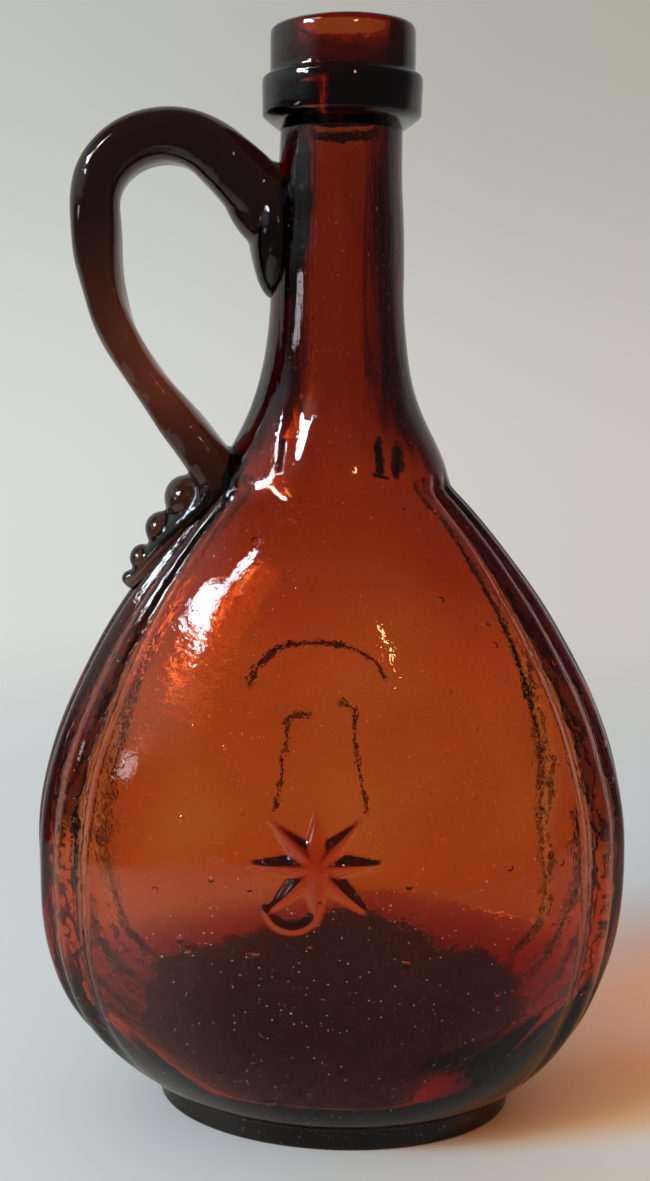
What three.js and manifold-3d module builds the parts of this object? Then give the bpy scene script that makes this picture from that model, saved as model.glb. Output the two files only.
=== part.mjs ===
// Handled flask of blown amber glass, in millimetres.
// The flask stands on z = 0, centred on the z axis. Its front panel faces -Y and its
// handle is on the -X side. It is made of three gathers of glass: the blown body with
// its ribbed sides, moulded star and foot, the double collar lip laid round the end of
// the neck, and the strap handle with its crimped tail.

import * as THREE from 'three';
import { mergeVertices } from 'three/addons/utils/BufferGeometryUtils.js';
import Module from 'manifold-3d';

const wasm = await Module();
wasm.setup();
const rad = THREE.MathUtils.degToRad;

// Heights, each measured on from the one before
const FOOT_HEIGHT = 4.6;
const FOOT_TO_BELLY = 50.9;
const BELLY_TO_SHOULDER = 73.8;
const NECK_LENGTH = 67.2;
const UNDERCUT_HEIGHT = 2.9;
const COLLAR_HEIGHT = 7.6;
const RIM_HEIGHT = 9;

// Half sizes of the oval sections
const FOOT_HALF_WIDTH = 36.8;
const FOOT_HALF_DEPTH = 25.2;
const BELLY_HALF_WIDTH = 60.5;
const BELLY_HALF_DEPTH = 37.5;
const SHOULDER_HALF_WIDTH = 22.9;
const SHOULDER_HALF_DEPTH = 15.8;
const NECK_RADIUS = 12.9;
const NECK_TOP_RADIUS = 11.7;

// How the side lines bend: directions, and how far each end pulls its curve
const HEEL_ANGLE = rad(31);
const HEEL_PULL = 30;
const BELLY_PULL_DOWN = 11;
const BELLY_PULL_UP = 29.5;
const SHOULDER_ANGLE = rad(44);
const SHOULDER_PULL = 19.8;
const FLARE_HEIGHT = 40.7;
const FLARE_ANGLE = rad(82);
const FLARE_PULL = 10.6;
const NECK_PULL = 29.3;

// The neck drifts away from the handle, as a hand-drawn neck does
const NECK_DRIFT = 2.2;
const DRIFT_BELOW_SHOULDER = 20;
const DRIFT_POWER = 1.25;

// Walls: thin panels and thicker ribbed sides
const PANEL_WALL = 2.2;
const SIDE_WALL = 3.3;
const NECK_WALL = 2.9;

// Heavy base of pooled glass: a floor that lies higher at the back, and a bowl that rises
// from its edge to the walls, wide towards the ribs and narrow towards the panels
const BASE_THICKNESS = 13.5;
const FLOOR_TILT = 0.24;
const BOWL_HEIGHT = 11.5;
const SIDE_BOWL_WIDTH = 17.3;
const PANEL_BOWL_WIDTH = 6.8;
const BOWL_POWER = 0.7;

// Foot ring and hollow underside
const FOOT_RING_WIDTH = 6.5;
const FOOT_EDGE = 0.9;
const PUSH_UP = 5;

// The foot sits a little askew under the body, turned in plan
const FOOT_SKEW = 0.09;
const SKEW_HEIGHT = 30;

// Ribs on the two narrow sides
const RIBS_PER_SIDE = 5;
const RIB_PITCH = rad(13);
const RIB_DEPTH = 1.5;
const RIB_TOP_FADE = 5;
const RIB_FOOT_FADE = 20;

// Moulded star on the front panel
const STAR_POINTS = 8;
const STAR_LEVEL = 63.8;
const STAR_OFFSET = -4.2;
const STAR_RADIUS = 13.4;
const STAR_UPRIGHT_CUT = 2;
const STAR_VALLEY_RADIUS = 5.2;
const STAR_RISE = 1.9;
const STAR_EDGE_RISE = 0.7;
const STAR_ROOT = 1.2;

// Double collar lip
const COLLAR_RADIUS = 15.3;
const RIM_RADIUS = 13.7;
const LIP_EDGE = 1.3;
const MOUTH_EDGE = 0.9;
const UNDERCUT_LAND = 0.5;
const NECK_END_BELOW_RIM = 9.5;
const SEAT_CLEARANCE = 0.3;

// Handle: a bend at the top, then a limb that lies in towards the shoulder
const HANDLE_REACH = 50.2;
const HANDLE_ABOVE_COLLAR_FOOT = 2.1;
const BEND_RADIUS = 14.2;
const BEND_START = rad(47);
const BEND_END = rad(180);
const LIMB_PULL = 29.5;
const LIMB_ANGLE = rad(61.5);
const LIMB_LAY = 23.8;
const HANDLE_BITE = 3.6;
const ROOT_THICKNESS = 13;
const BEND_THICKNESS = 10.8;
const SIDE_THICKNESS = 9.2;
const LIMB_THICKNESS = 7;
const END_THICKNESS = 9.8;
const ROOT_WIDTH = 15;
const LIMB_WIDTH = 12;
const END_WIDTH = 14;
const BEND_SHARE = 0.22;
const SIDE_SHARE = 0.45;
const LIMB_SHARE = 0.72;
const INNER_FLATNESS = 0.55;

// Pads where the hot strap was pressed on
const ROOT_PAD_DROP = 21;
const ROOT_PAD_HEIGHT = 26;
const ROOT_PAD_WIDTH = 17;
const ROOT_PAD_THICKNESS = 4.9;
const END_PAD_LENGTH = 18;
const END_PAD_WIDTH = 15;
const END_PAD_THICKNESS = 4;

// Crimped tail, drawn down along the middle rib
const TAIL_DROP = 20.6;
const TAIL_WIDTH = 8.5;
const TAIL_TIP_WIDTH = 4;
const TAIL_THICKNESS = 3.2;
const CRIMPS = [
  { drop: 4.6, radius: 3.3 },
  { drop: 10, radius: 2.7 },
  { drop: 15.5, radius: 2.1 },
  { drop: 19.5, radius: 1.4 },
];
const CRIMP_STAND = 0.62;
const CRIMP_BREADTH = 1.25;
const TAIL_TAPER = 0.9;
const TAIL_TAPER_POWER = 3;

// How finely each surface is cut into flat faces
const HEEL_STEPS = 8;
const SIDE_STEPS = 12;
const FLARE_STEPS = 7;
const NECK_STEPS = 3;
const RIB_STEPS = 6;
const PANEL_STEPS = 10;
const HOLLOW_SHARES = [0.3, 0.6, 0.85];
const FLOOR_SHARES = [0.5, 1];
const BOWL_SHARES = [0.35, 0.65, 0.85, 1];
const FOOT_EDGE_TURNS = [0, 45, 90].map(rad);
const CAVITY_STEPS = 36;
const LIP_STEPS = 48;
const LIP_EDGE_STEPS = 2;
const STRAP_ROWS = 38;
const STRAP_STEPS = 16;
const TAIL_ROWS = 14;
const TAIL_STEPS = 12;
const LOBE_STEPS = 14;
const LOBE_ROWS = 10;

// Colours of the glass, and its gloss
const ORANGE_AMBER = 0xa03c0c;
const DARK_AMBER = 0x3a1a14;
const RED_AMBER = 0x461a10;
const GLOSS = 0.08;

// Small lengths that only the building needs
const CUT_PAST = 2;
const ROW_GAP = 2;
const SLOPE_STEP = 0.5;
const MERGE_DISTANCE = 1e-5;

// Levels that follow from the heights
const bellyZ = FOOT_HEIGHT + FOOT_TO_BELLY;
const shoulderZ = bellyZ + BELLY_TO_SHOULDER;
const flareTopZ = shoulderZ + FLARE_HEIGHT;
const neckTopZ = shoulderZ + NECK_LENGTH;
const collarZ = neckTopZ + UNDERCUT_HEIGHT;
const rimZ = collarZ + COLLAR_HEIGHT;
const totalZ = rimZ + RIM_HEIGHT;
const neckEndZ = totalZ - NECK_END_BELOW_RIM;
const boreRadius = NECK_TOP_RADIUS - NECK_WALL;
const floorZ = PUSH_UP + BASE_THICKNESS;
const bowlTopZ = floorZ + BOWL_HEIGHT;

function driftAt(z) {
  const start = shoulderZ - DRIFT_BELOW_SHOULDER;
  return NECK_DRIFT * Math.max(0, (z - start) / (totalZ - start)) ** DRIFT_POWER;
}

// One side line of the flask as points (half size, z), from the top of the foot to the
// end of the neck: heel, side and flare are cubic curves, and the neck tapers straight up
// to the lip
function sideLine(foot, belly, shoulder) {
  const at = (half, z) => new THREE.Vector2(half, z);
  const aimed = (from, angle, reach) =>
    at(from.x + reach * Math.cos(angle), from.y + reach * Math.sin(angle));
  const heelReach = HEEL_PULL * (belly - foot) / (BELLY_HALF_WIDTH - FOOT_HALF_WIDTH);
  const sideReach = SHOULDER_PULL * (belly - shoulder) / (BELLY_HALF_WIDTH - SHOULDER_HALF_WIDTH);
  const heelPoint = at(foot, FOOT_HEIGHT);
  const bellyPoint = at(belly, bellyZ);
  const shoulderPoint = at(shoulder, shoulderZ);
  const neckPoint = at(NECK_RADIUS, flareTopZ);
  const heel = new THREE.CubicBezierCurve(
    heelPoint, aimed(heelPoint, HEEL_ANGLE, heelReach),
    at(belly, bellyZ - BELLY_PULL_DOWN), bellyPoint,
  );
  const side = new THREE.CubicBezierCurve(
    bellyPoint, at(belly, bellyZ + BELLY_PULL_UP),
    aimed(shoulderPoint, -SHOULDER_ANGLE, sideReach), shoulderPoint,
  );
  const flare = new THREE.CubicBezierCurve(
    shoulderPoint, aimed(shoulderPoint, Math.PI - FLARE_ANGLE, FLARE_PULL),
    at(NECK_RADIUS, flareTopZ - NECK_PULL), neckPoint,
  );
  const neck = new THREE.LineCurve(neckPoint, at(NECK_TOP_RADIUS, neckTopZ));
  return [
    heelPoint,
    ...heel.getPoints(HEEL_STEPS).slice(1),
    ...side.getPoints(SIDE_STEPS).slice(1),
    ...flare.getPoints(FLARE_STEPS).slice(1),
    ...neck.getPoints(NECK_STEPS).slice(1),
    at(NECK_TOP_RADIUS, neckEndZ),
  ];
}

// A side line moved towards the axis by a wall that varies with height
function insetLine(line, wallAt) {
  return line.map((point, i) => {
    const before = line[Math.max(i - 1, 0)];
    const after = line[Math.min(i + 1, line.length - 1)];
    const along = after.clone().sub(before).normalize();
    const wall = wallAt(point.y);
    return new THREE.Vector2(point.x - along.y * wall, point.y + along.x * wall);
  });
}

// The half size of a side line at one height, by straight runs between its points
function halfAt(line, z) {
  const next = line.findIndex((point) => point.y >= z);
  if (next === 0) return line[0].x;
  if (next < 0) return line[line.length - 1].x;
  const share = (z - line[next - 1].y) / (line[next].y - line[next - 1].y);
  return THREE.MathUtils.lerp(line[next - 1].x, line[next].x, share);
}

const widthLine = sideLine(FOOT_HALF_WIDTH, BELLY_HALF_WIDTH, SHOULDER_HALF_WIDTH);
const depthLine = sideLine(FOOT_HALF_DEPTH, BELLY_HALF_DEPTH, SHOULDER_HALF_DEPTH);

// Angles round a section: close steps over the ribs, wide ones over the two panels
const ribEdge = RIB_PITCH * (RIBS_PER_SIDE + 1) / 2;

function ribbedAngles() {
  const angles = [];
  for (const side of [0, Math.PI]) {
    const steps = RIB_STEPS * (RIBS_PER_SIDE + 1);
    for (let i = 0; i < steps; i++) angles.push(side - ribEdge + 2 * ribEdge * i / steps);
    const panel = Math.PI - 2 * ribEdge;
    for (let i = 0; i < PANEL_STEPS; i++) angles.push(side + ribEdge + panel * i / PANEL_STEPS);
  }
  return angles;
}

function evenAngles(steps) {
  return Array.from({ length: steps }, (_, i) => 2 * Math.PI * i / steps);
}

// Depth of the groove between ribs at one angle, 0 on a crest and on the panels
function grooveAt(angle) {
  const fromSide = Math.abs(Math.atan2(Math.sin(angle), Math.abs(Math.cos(angle))));
  if (fromSide > ribEdge) return 0;
  return RIB_DEPTH * (0.5 - 0.5 * Math.cos(2 * Math.PI * (ribEdge - fromSide) / RIB_PITCH));
}

function ribShareAt(z) {
  const fromTop = THREE.MathUtils.smoothstep(shoulderZ + RIB_TOP_FADE / 2 - z, 0, RIB_TOP_FADE);
  const fromFoot = THREE.MathUtils.smoothstep(z - FOOT_HEIGHT, 0, RIB_FOOT_FADE);
  return fromTop * fromFoot;
}

// Where a point of the true oval lies once the drift of the neck and the set of the
// foot are taken in
function settled(x, y, z) {
  const low = 1 - THREE.MathUtils.smoothstep(z, 0, SKEW_HEIGHT);
  return new THREE.Vector3(x + driftAt(z), y - FOOT_SKEW * low * x, z);
}

const centre = (z) => settled(0, 0, z);

// One oval ring at height z, with the grooves cut in along the oval's own normal
function ovalRing(angles, halfWidth, halfDepth, z, grooveShare = 0) {
  return angles.map((angle) => {
    const c = Math.cos(angle);
    const s = Math.sin(angle);
    const normal = new THREE.Vector2(c / halfWidth, s / halfDepth).normalize();
    const cut = grooveShare * grooveAt(angle);
    return settled(halfWidth * c - normal.x * cut, halfDepth * s - normal.y * cut, z);
  });
}

// A closed geometry from rings of equal count, stacked so that each one's points run
// anticlockwise seen from the end, with a fan of triangles over either end
function stackRings(rings, startPoint, endPoint) {
  const around = rings[0].length;
  const points = [...rings.flat(), startPoint, endPoint];
  const start = points.length - 2;
  const end = points.length - 1;
  const faces = [];
  for (let i = 0; i < around; i++) {
    const j = (i + 1) % around;
    faces.push(start, j, i);
    for (let row = 0; row < rings.length - 1; row++) {
      const low = row * around;
      const high = low + around;
      faces.push(low + i, low + j, high + i, low + j, high + j, high + i);
    }
    const last = (rings.length - 1) * around;
    faces.push(last + i, last + j, end);
  }
  const geometry = new THREE.BufferGeometry().setFromPoints(points);
  geometry.setIndex(faces);
  return geometry;
}

function toSolid(geometry) {
  const bare = geometry.clone();
  bare.deleteAttribute('normal');
  bare.deleteAttribute('uv');
  const merged = mergeVertices(bare, MERGE_DISTANCE);
  return new wasm.Manifold(new wasm.Mesh({
    numProp: 3,
    vertProperties: new Float32Array(merged.attributes.position.array),
    triVerts: new Uint32Array(merged.index.array),
  }));
}

function toGeometry(solid) {
  const mesh = solid.getMesh();
  const geometry = new THREE.BufferGeometry();
  geometry.setAttribute('position', new THREE.BufferAttribute(mesh.vertProperties, 3));
  geometry.setIndex(new THREE.BufferAttribute(mesh.triVerts, 1));
  geometry.computeVertexNormals();
  return geometry;
}

// Hollow of the underside: a dome that dies out at the foot ring
const hollowWidth = FOOT_HALF_WIDTH - FOOT_RING_WIDTH;
const hollowDepth = FOOT_HALF_DEPTH - FOOT_RING_WIDTH;
const domeAt = (share) => PUSH_UP * (1 - share * share);

// Outside of the body, closed over the end of the neck
function bodyOutside() {
  const angles = ribbedAngles();
  const rings = HOLLOW_SHARES.map((share) =>
    ovalRing(angles, hollowWidth * share, hollowDepth * share, domeAt(share)));
  rings.push(ovalRing(angles, hollowWidth, hollowDepth, 0));
  for (const turn of FOOT_EDGE_TURNS) {
    const back = FOOT_EDGE * (1 - Math.sin(turn));
    rings.push(ovalRing(
      angles, FOOT_HALF_WIDTH - back, FOOT_HALF_DEPTH - back, FOOT_EDGE * (1 - Math.cos(turn)),
    ));
  }
  for (const { x, y } of widthLine) {
    rings.push(ovalRing(angles, x, halfAt(depthLine, y), y, ribShareAt(y)));
  }
  return toSolid(stackRings(rings, centre(PUSH_UP), centre(neckEndZ)));
}

// A side line of the inside, moved in by a wall that turns from the body's to the neck's
function insideLine(line, bodyWall) {
  return insetLine(line, (z) => THREE.MathUtils.lerp(
    bodyWall, NECK_WALL, THREE.MathUtils.smoothstep(z, shoulderZ, flareTopZ),
  ));
}

// Inside of the body: the tilted floor, the bowl up to the walls, the walls with half as
// many rows as the outside, and on up through the open end of the neck
function bodyInside() {
  const angles = evenAngles(CAVITY_STEPS);
  const insideWidth = insideLine(widthLine, SIDE_WALL);
  const insideDepth = insideLine(depthLine, PANEL_WALL);
  const bowlWidth = halfAt(insideWidth, bowlTopZ);
  const bowlDepth = halfAt(insideDepth, bowlTopZ);
  const floorWidth = bowlWidth - SIDE_BOWL_WIDTH;
  const floorDepth = bowlDepth - PANEL_BOWL_WIDTH;
  const baseRing = (halfWidth, halfDepth, rise) =>
    ovalRing(angles, halfWidth, halfDepth, bowlTopZ).map((point) => point.setZ(
      THREE.MathUtils.lerp(floorZ + FLOOR_TILT * point.y, bowlTopZ, rise),
    ));
  const rings = FLOOR_SHARES.map((share) => baseRing(floorWidth * share, floorDepth * share, 0));
  for (const share of BOWL_SHARES) {
    rings.push(baseRing(
      THREE.MathUtils.lerp(floorWidth, bowlWidth, share),
      THREE.MathUtils.lerp(floorDepth, bowlDepth, share),
      1 - (1 - share) ** BOWL_POWER,
    ));
  }
  insideWidth.forEach(({ x, y }, i) => {
    if (y <= bowlTopZ + ROW_GAP) return;
    if (i % 2 === 0 || y > flareTopZ) rings.push(ovalRing(angles, x, halfAt(insideDepth, y), y));
  });
  const aboveZ = neckEndZ + CUT_PAST;
  rings.push(ovalRing(angles, boreRadius, boreRadius, aboveZ));
  return toSolid(stackRings(rings, centre(floorZ), centre(aboveZ)));
}

// Outside of the body from the foot up, grown by the clearance that a seated piece keeps
function bodyGrown() {
  const angles = ribbedAngles();
  const grownWidth = insetLine(widthLine, () => -SEAT_CLEARANCE);
  const grownDepth = insetLine(depthLine, () => -SEAT_CLEARANCE);
  const rings = grownWidth.map(({ x, y }) =>
    ovalRing(angles, x, halfAt(grownDepth, y), y, ribShareAt(y)));
  return toSolid(stackRings(rings, centre(FOOT_HEIGHT), centre(neckEndZ)));
}

// Outer surface of the front panel at one place, as a y coordinate
function frontAt(x, z) {
  const share = (x - driftAt(z)) / halfAt(widthLine, z);
  return -halfAt(depthLine, z) * Math.sqrt(1 - share * share);
}

// Star with a ridge along each point, standing on the curved front panel and rooted in
// its wall; its upright points are the shortest
function starSolid() {
  const onPanel = (radius, angle, rise) => {
    const x = STAR_OFFSET + radius * Math.cos(angle);
    const z = STAR_LEVEL + radius * Math.sin(angle);
    return new THREE.Vector3(x, frontAt(x, z) - rise, z);
  };
  const corners = evenAngles(2 * STAR_POINTS).map((turn, i) => ({
    angle: turn + Math.PI / 2,
    radius: i % 2 === 0 ? STAR_RADIUS - STAR_UPRIGHT_CUT * Math.cos(turn) ** 4 : STAR_VALLEY_RADIUS,
  }));
  const root = corners.map(({ radius, angle }) => onPanel(radius, angle, -STAR_ROOT));
  const edge = corners.map(({ radius, angle }) => onPanel(radius, angle, STAR_EDGE_RISE));
  return toSolid(stackRings([root, edge], onPanel(0, 0, -STAR_ROOT), onPanel(0, 0, STAR_RISE)));
}

function flaskBody() {
  return toGeometry(bodyOutside().add(starSolid()).subtract(bodyInside()));
}

// Lip turned in one profile (seat over the neck end, undercut, collar, rim band, bore),
// then moved over with the drift of the neck
function appliedLip() {
  const seat = NECK_TOP_RADIUS + SEAT_CLEARANCE;
  const profile = new THREE.Path();
  profile.moveTo(seat, neckTopZ);
  profile.lineTo(seat + UNDERCUT_LAND, neckTopZ);
  profile.lineTo(COLLAR_RADIUS - LIP_EDGE / 2, collarZ - LIP_EDGE / 2);
  profile.lineTo(COLLAR_RADIUS, collarZ + LIP_EDGE / 2);
  profile.absarc(COLLAR_RADIUS - LIP_EDGE, rimZ - LIP_EDGE, LIP_EDGE, 0, Math.PI / 2);
  profile.lineTo(RIM_RADIUS, rimZ);
  profile.absarc(RIM_RADIUS - LIP_EDGE, totalZ - LIP_EDGE, LIP_EDGE, 0, Math.PI / 2);
  profile.lineTo(boreRadius + MOUTH_EDGE, totalZ);
  profile.lineTo(boreRadius, totalZ - MOUTH_EDGE);
  profile.lineTo(boreRadius, neckEndZ + SEAT_CLEARANCE);
  profile.lineTo(seat, neckEndZ + SEAT_CLEARANCE);
  profile.lineTo(seat, neckTopZ);
  const lip = new THREE.LatheGeometry(profile.getPoints(LIP_EDGE_STEPS), LIP_STEPS);
  lip.rotateX(Math.PI / 2);
  const position = lip.attributes.position;
  for (let i = 0; i < position.count; i++) {
    position.setX(i, position.getX(i) + driftAt(position.getZ(i)));
  }
  return lip;
}

// Outside of the body in the plane of the handle: the point of its side at one height,
// moved out of the glass by a stand
function sidePoint(z, stand = 0) {
  const rise = halfAt(widthLine, z + SLOPE_STEP) - halfAt(widthLine, z - SLOPE_STEP);
  const up = new THREE.Vector2(rise, 2 * SLOPE_STEP).normalize();
  const half = halfAt(widthLine, z);
  return new THREE.Vector3(driftAt(z) - half - up.y * stand, 0, z - up.x * stand);
}

// Centre line of the strap in (x, z): straight out of the neck, round the bend, and down
// the limb into the shoulder
function strapLine() {
  const topZ = collarZ + HANDLE_ABOVE_COLLAR_FOOT;
  const bendX = -(HANDLE_REACH - SIDE_THICKNESS / 2 - BEND_RADIUS);
  const bendZ = topZ - BEND_THICKNESS / 2 - BEND_RADIUS;
  const bendPoint = (angle) => new THREE.Vector2(
    bendX + BEND_RADIUS * Math.cos(angle), bendZ + BEND_RADIUS * Math.sin(angle),
  );
  const from = bendPoint(BEND_START);
  const rootX = -(NECK_RADIUS - HANDLE_BITE);
  const run = (rootX - from.x) / Math.sin(BEND_START);
  const to = bendPoint(BEND_END);
  const end = sidePoint(shoulderZ, -HANDLE_BITE);
  const line = new THREE.Path();
  line.moveTo(rootX, from.y - run * Math.cos(BEND_START));
  line.lineTo(from.x, from.y);
  line.absarc(bendX, bendZ, BEND_RADIUS, BEND_START, BEND_END);
  line.bezierCurveTo(
    to.x - LIMB_PULL * Math.sin(BEND_END), to.y + LIMB_PULL * Math.cos(BEND_END),
    end.x - LIMB_LAY * Math.cos(LIMB_ANGLE), end.z + LIMB_LAY * Math.sin(LIMB_ANGLE),
    end.x, end.z,
  );
  return line;
}

// A size that runs smoothly from one station to the next along the strap
function sizeAlong(stations, share) {
  const next = Math.max(1, stations.findIndex(([at]) => at >= share));
  const [fromAt, from] = stations[next - 1];
  const [toAt, to] = stations[next];
  return THREE.MathUtils.lerp(from, to, THREE.MathUtils.smoothstep(share, fromAt, toAt));
}

const strapThicknesses = [
  [0, ROOT_THICKNESS], [BEND_SHARE, BEND_THICKNESS], [SIDE_SHARE, SIDE_THICKNESS],
  [LIMB_SHARE, LIMB_THICKNESS], [1, END_THICKNESS],
];
const strapWidths = [[0, ROOT_WIDTH], [LIMB_SHARE, LIMB_WIDTH], [1, END_WIDTH]];

// Strap swept along its line: round on the outer side, flatter on the inner side
function strapSolid() {
  const line = strapLine();
  const rings = Array.from({ length: STRAP_ROWS + 1 }, (_, i) => {
    const share = i / STRAP_ROWS;
    const middle = line.getPointAt(share);
    const tangent = line.getTangentAt(share);
    const halfThick = sizeAlong(strapThicknesses, share) / 2;
    const halfWide = sizeAlong(strapWidths, share) / 2;
    return evenAngles(STRAP_STEPS).map((angle) => {
      const c = Math.cos(angle);
      const out = halfThick * (c > 0 ? c : -(Math.abs(c) ** INNER_FLATNESS));
      return new THREE.Vector3(
        middle.x + tangent.y * out, halfWide * Math.sin(angle), middle.y - tangent.x * out,
      );
    });
  });
  const at = (share) => {
    const { x, y } = line.getPointAt(share);
    return new THREE.Vector3(x, 0, y);
  };
  return toSolid(stackRings(rings, at(0), at(1)));
}

// A rounded lobe of glass: half sizes along x, y and z, tilted in the handle's plane
function lobe(place, halfX, halfY, halfZ, tilt = 0) {
  const ball = new THREE.SphereGeometry(1, LOBE_STEPS, LOBE_ROWS).scale(halfX, halfY, halfZ);
  return toSolid(ball.rotateY(tilt).translate(place.x, place.y, place.z));
}

// Crimped tail: a tapering strip laid down the middle rib, with a row of pinched knobs
function tailSolids() {
  const rings = Array.from({ length: TAIL_ROWS + 1 }, (_, i) => {
    const share = i / TAIL_ROWS;
    const z = shoulderZ - TAIL_DROP * share;
    const middle = sidePoint(z);
    const out = sidePoint(z, 1).sub(middle);
    const taper = Math.sqrt(1 - TAIL_TAPER * share ** TAIL_TAPER_POWER);
    const halfWide = THREE.MathUtils.lerp(TAIL_WIDTH, TAIL_TIP_WIDTH, share) / 2 * taper;
    return evenAngles(TAIL_STEPS).map((angle) => middle.clone()
      .addScaledVector(out, Math.cos(angle) * TAIL_THICKNESS / 2 * taper)
      .add(new THREE.Vector3(0, halfWide * Math.sin(angle), 0)));
  });
  const strip = toSolid(stackRings(rings, sidePoint(shoulderZ), sidePoint(shoulderZ - TAIL_DROP)));
  const knobs = CRIMPS.map(({ drop, radius }) =>
    lobe(sidePoint(shoulderZ - drop, radius * CRIMP_STAND), radius, radius * CRIMP_BREADTH, radius));
  return [strip, ...knobs];
}

function handle() {
  const rootZ = collarZ - ROOT_PAD_DROP;
  const endZ = shoulderZ;
  const slope = sidePoint(endZ, 1).sub(sidePoint(endZ));
  const rootPad = lobe(
    new THREE.Vector3(driftAt(rootZ) - halfAt(widthLine, rootZ), 0, rootZ),
    ROOT_PAD_THICKNESS, ROOT_PAD_WIDTH / 2, ROOT_PAD_HEIGHT / 2,
  );
  const endPad = lobe(
    sidePoint(endZ), END_PAD_THICKNESS, END_PAD_WIDTH / 2, END_PAD_LENGTH / 2,
    Math.atan2(slope.z, -slope.x),
  );
  const glass = [rootPad, endPad, ...tailSolids()].reduce(
    (whole, piece) => whole.add(piece), strapSolid(),
  );
  return toGeometry(glass.subtract(bodyGrown()));
}

const flask = new THREE.Group();
const pieces = [
  ['flask_body', flaskBody(), ORANGE_AMBER],
  ['applied_lip', appliedLip(), DARK_AMBER],
  ['handle', handle(), RED_AMBER],
];
for (const [name, geometry, color] of pieces) {
  const glass = new THREE.MeshStandardMaterial({ color, roughness: GLOSS, metalness: 0 });
  const mesh = new THREE.Mesh(geometry, glass);
  mesh.name = name;
  flask.add(mesh);
}

export default flask;
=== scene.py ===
import math

import bpy
import numpy as np
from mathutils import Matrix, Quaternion, Vector


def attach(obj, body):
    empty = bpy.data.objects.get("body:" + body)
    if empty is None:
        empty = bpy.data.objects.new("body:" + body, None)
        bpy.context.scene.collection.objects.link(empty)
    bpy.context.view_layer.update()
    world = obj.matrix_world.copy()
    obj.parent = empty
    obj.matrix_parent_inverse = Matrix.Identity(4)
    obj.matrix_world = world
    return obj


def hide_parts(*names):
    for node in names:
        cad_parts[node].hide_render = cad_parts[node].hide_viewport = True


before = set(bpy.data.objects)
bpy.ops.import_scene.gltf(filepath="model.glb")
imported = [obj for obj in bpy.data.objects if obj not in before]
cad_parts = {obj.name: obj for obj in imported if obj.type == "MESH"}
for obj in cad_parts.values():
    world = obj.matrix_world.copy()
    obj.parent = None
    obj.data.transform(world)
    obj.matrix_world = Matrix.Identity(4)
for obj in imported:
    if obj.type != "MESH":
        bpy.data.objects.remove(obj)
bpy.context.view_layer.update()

# Sizes of the body in millimetres: the solid model's, a little fuller in places
FOOT_HEIGHT, BELLY_LEVEL, SHOULDER_LEVEL = 4.6, 55.5, 129.3
FLARE_TOP, NECK_TOP, COLLAR_FOOT, RIM_FOOT, TOP = 170.0, 196.5, 199.4, 207.0, 216.0
NECK_END = 206.5
FOOT_HALF = (36.8, 25.2)
BELLY_HALF = (60.5, 37.5)
SHOULDER_HALF, SHOULDER_BLEND, BLEND_HEIGHT = (22.9, 16.8), (1, 4), 12
NECK_RADIUS, NECK_TOP_RADIUS = 12.9, 11.7
HEEL_ANGLE, SHOULDER_ANGLE, FLARE_ANGLE = math.radians(31), math.radians(44), math.radians(82)
HEEL_PULL, BELLY_PULL_DOWN, BELLY_PULL_UP, SIDE_PULL = 30, 11, 29.5, 19.8
FLARE_PULL, NECK_PULL = 10.6, 29.3
DRIFT_AT_TOP, DRIFT_START, DRIFT_POWER = 2.2, SHOULDER_LEVEL - 20, 1.25
FOOT_SKEW, SKEW_HEIGHT = 0.09, 30
HOLLOW_HALF, FLAT_RING_HALF = (30.3, 18.7), ((31.5, 33.5), (19.9, 21.9))
PUSH_UP, FOOT_EDGE = 5.0, 0.9
POOL_TOP, POOL_MIDDLE, POOL_TILT, POOL_HALF = 30.0, 18.5, 0.24, (39.0, 27.5)
WALL_LEVELS = (29, 45, 70, 105, 129, 150, 193, 203)
WALL_THICKNESS = (3.6, 3.2, 3.0, 3.2, 3.9, 5.0, 4.8, 2.9)
RIB_PITCH = math.radians(13)
RIB_EDGE = 3 * RIB_PITCH
RIB_DEPTH = 1.5
STAR_PLACE, STAR_RADIUS, STAR_SHORTER, STAR_VALLEY = (-4.2, 63.8), 13.6, 2.2, 5.2
STAR_BEVEL, BEVEL_RUN, STAR_SLOPE = 0.75, 0.45, 0.36
CURL_PLACE, CURL_RADIUS, CURL_HEIGHT, CURL_WIDTH = (-4.6, -7.2), 4.75, 0.5, 0.6
PRESSED_PLACE, PRESSED_REACH = (-6.4, -13.7, 140.3), (3.8, 7, 8)
PRESSED_FACING = (-0.468, -0.806, 0.362)

# Sizes of the lip
BORE_RADIUS = 8.8
COLLAR_RADIUS, RIM_RADIUS = 15.3, 13.7
LIP_EDGE, MOUTH_EDGE, STEP_EDGE, SEAT_ROOM = 1.3, 0.9, 0.4, 0.3

# Sizes of the handle: its strap with shares of its length, its pads, and its tail
HANDLE_REACH, HANDLE_RISE, BEND_RADIUS, BEND_START = 50.2, 2.1, 14.2, 47
CREST_THICK, SIDE_THICK = 10.8, 9.2
HANDLE_BITE, LIMB_PULL, LIMB_ANGLE, LIMB_LAY, LIMB_SUNK = 3.6, 29.5, math.radians(61.5), 23.8, 2.4
STRAP_THICK = ((0, 0.22, 0.45, 0.72, 1), (13, CREST_THICK, SIDE_THICK, 7, 9.8))
STRAP_WIDE = ((0, 0.72, 1), (15, 12, 14))
ROOT_ROUNDING, ROOT_LEAST = 0.012, 0.4
OUTER_POWER, INNER_POWER, ACROSS_POWER = 0.85, 0.65, 0.7
ROOT_PAD_DROP, ROOT_PAD_HALVES = 21, (4.9, 8.5, 13)
WEB_PLACE, WEB_HALVES, WEB_TILT = (-15.3, 0, 180.2), (3.0, 6.4, 8.5), math.radians(-41)
END_PAD_HALVES = (4, 7.5, 9)
TAIL_DROP, TAIL_STAND, TAIL_BOW = 20.6, 0.8, 0.035
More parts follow.
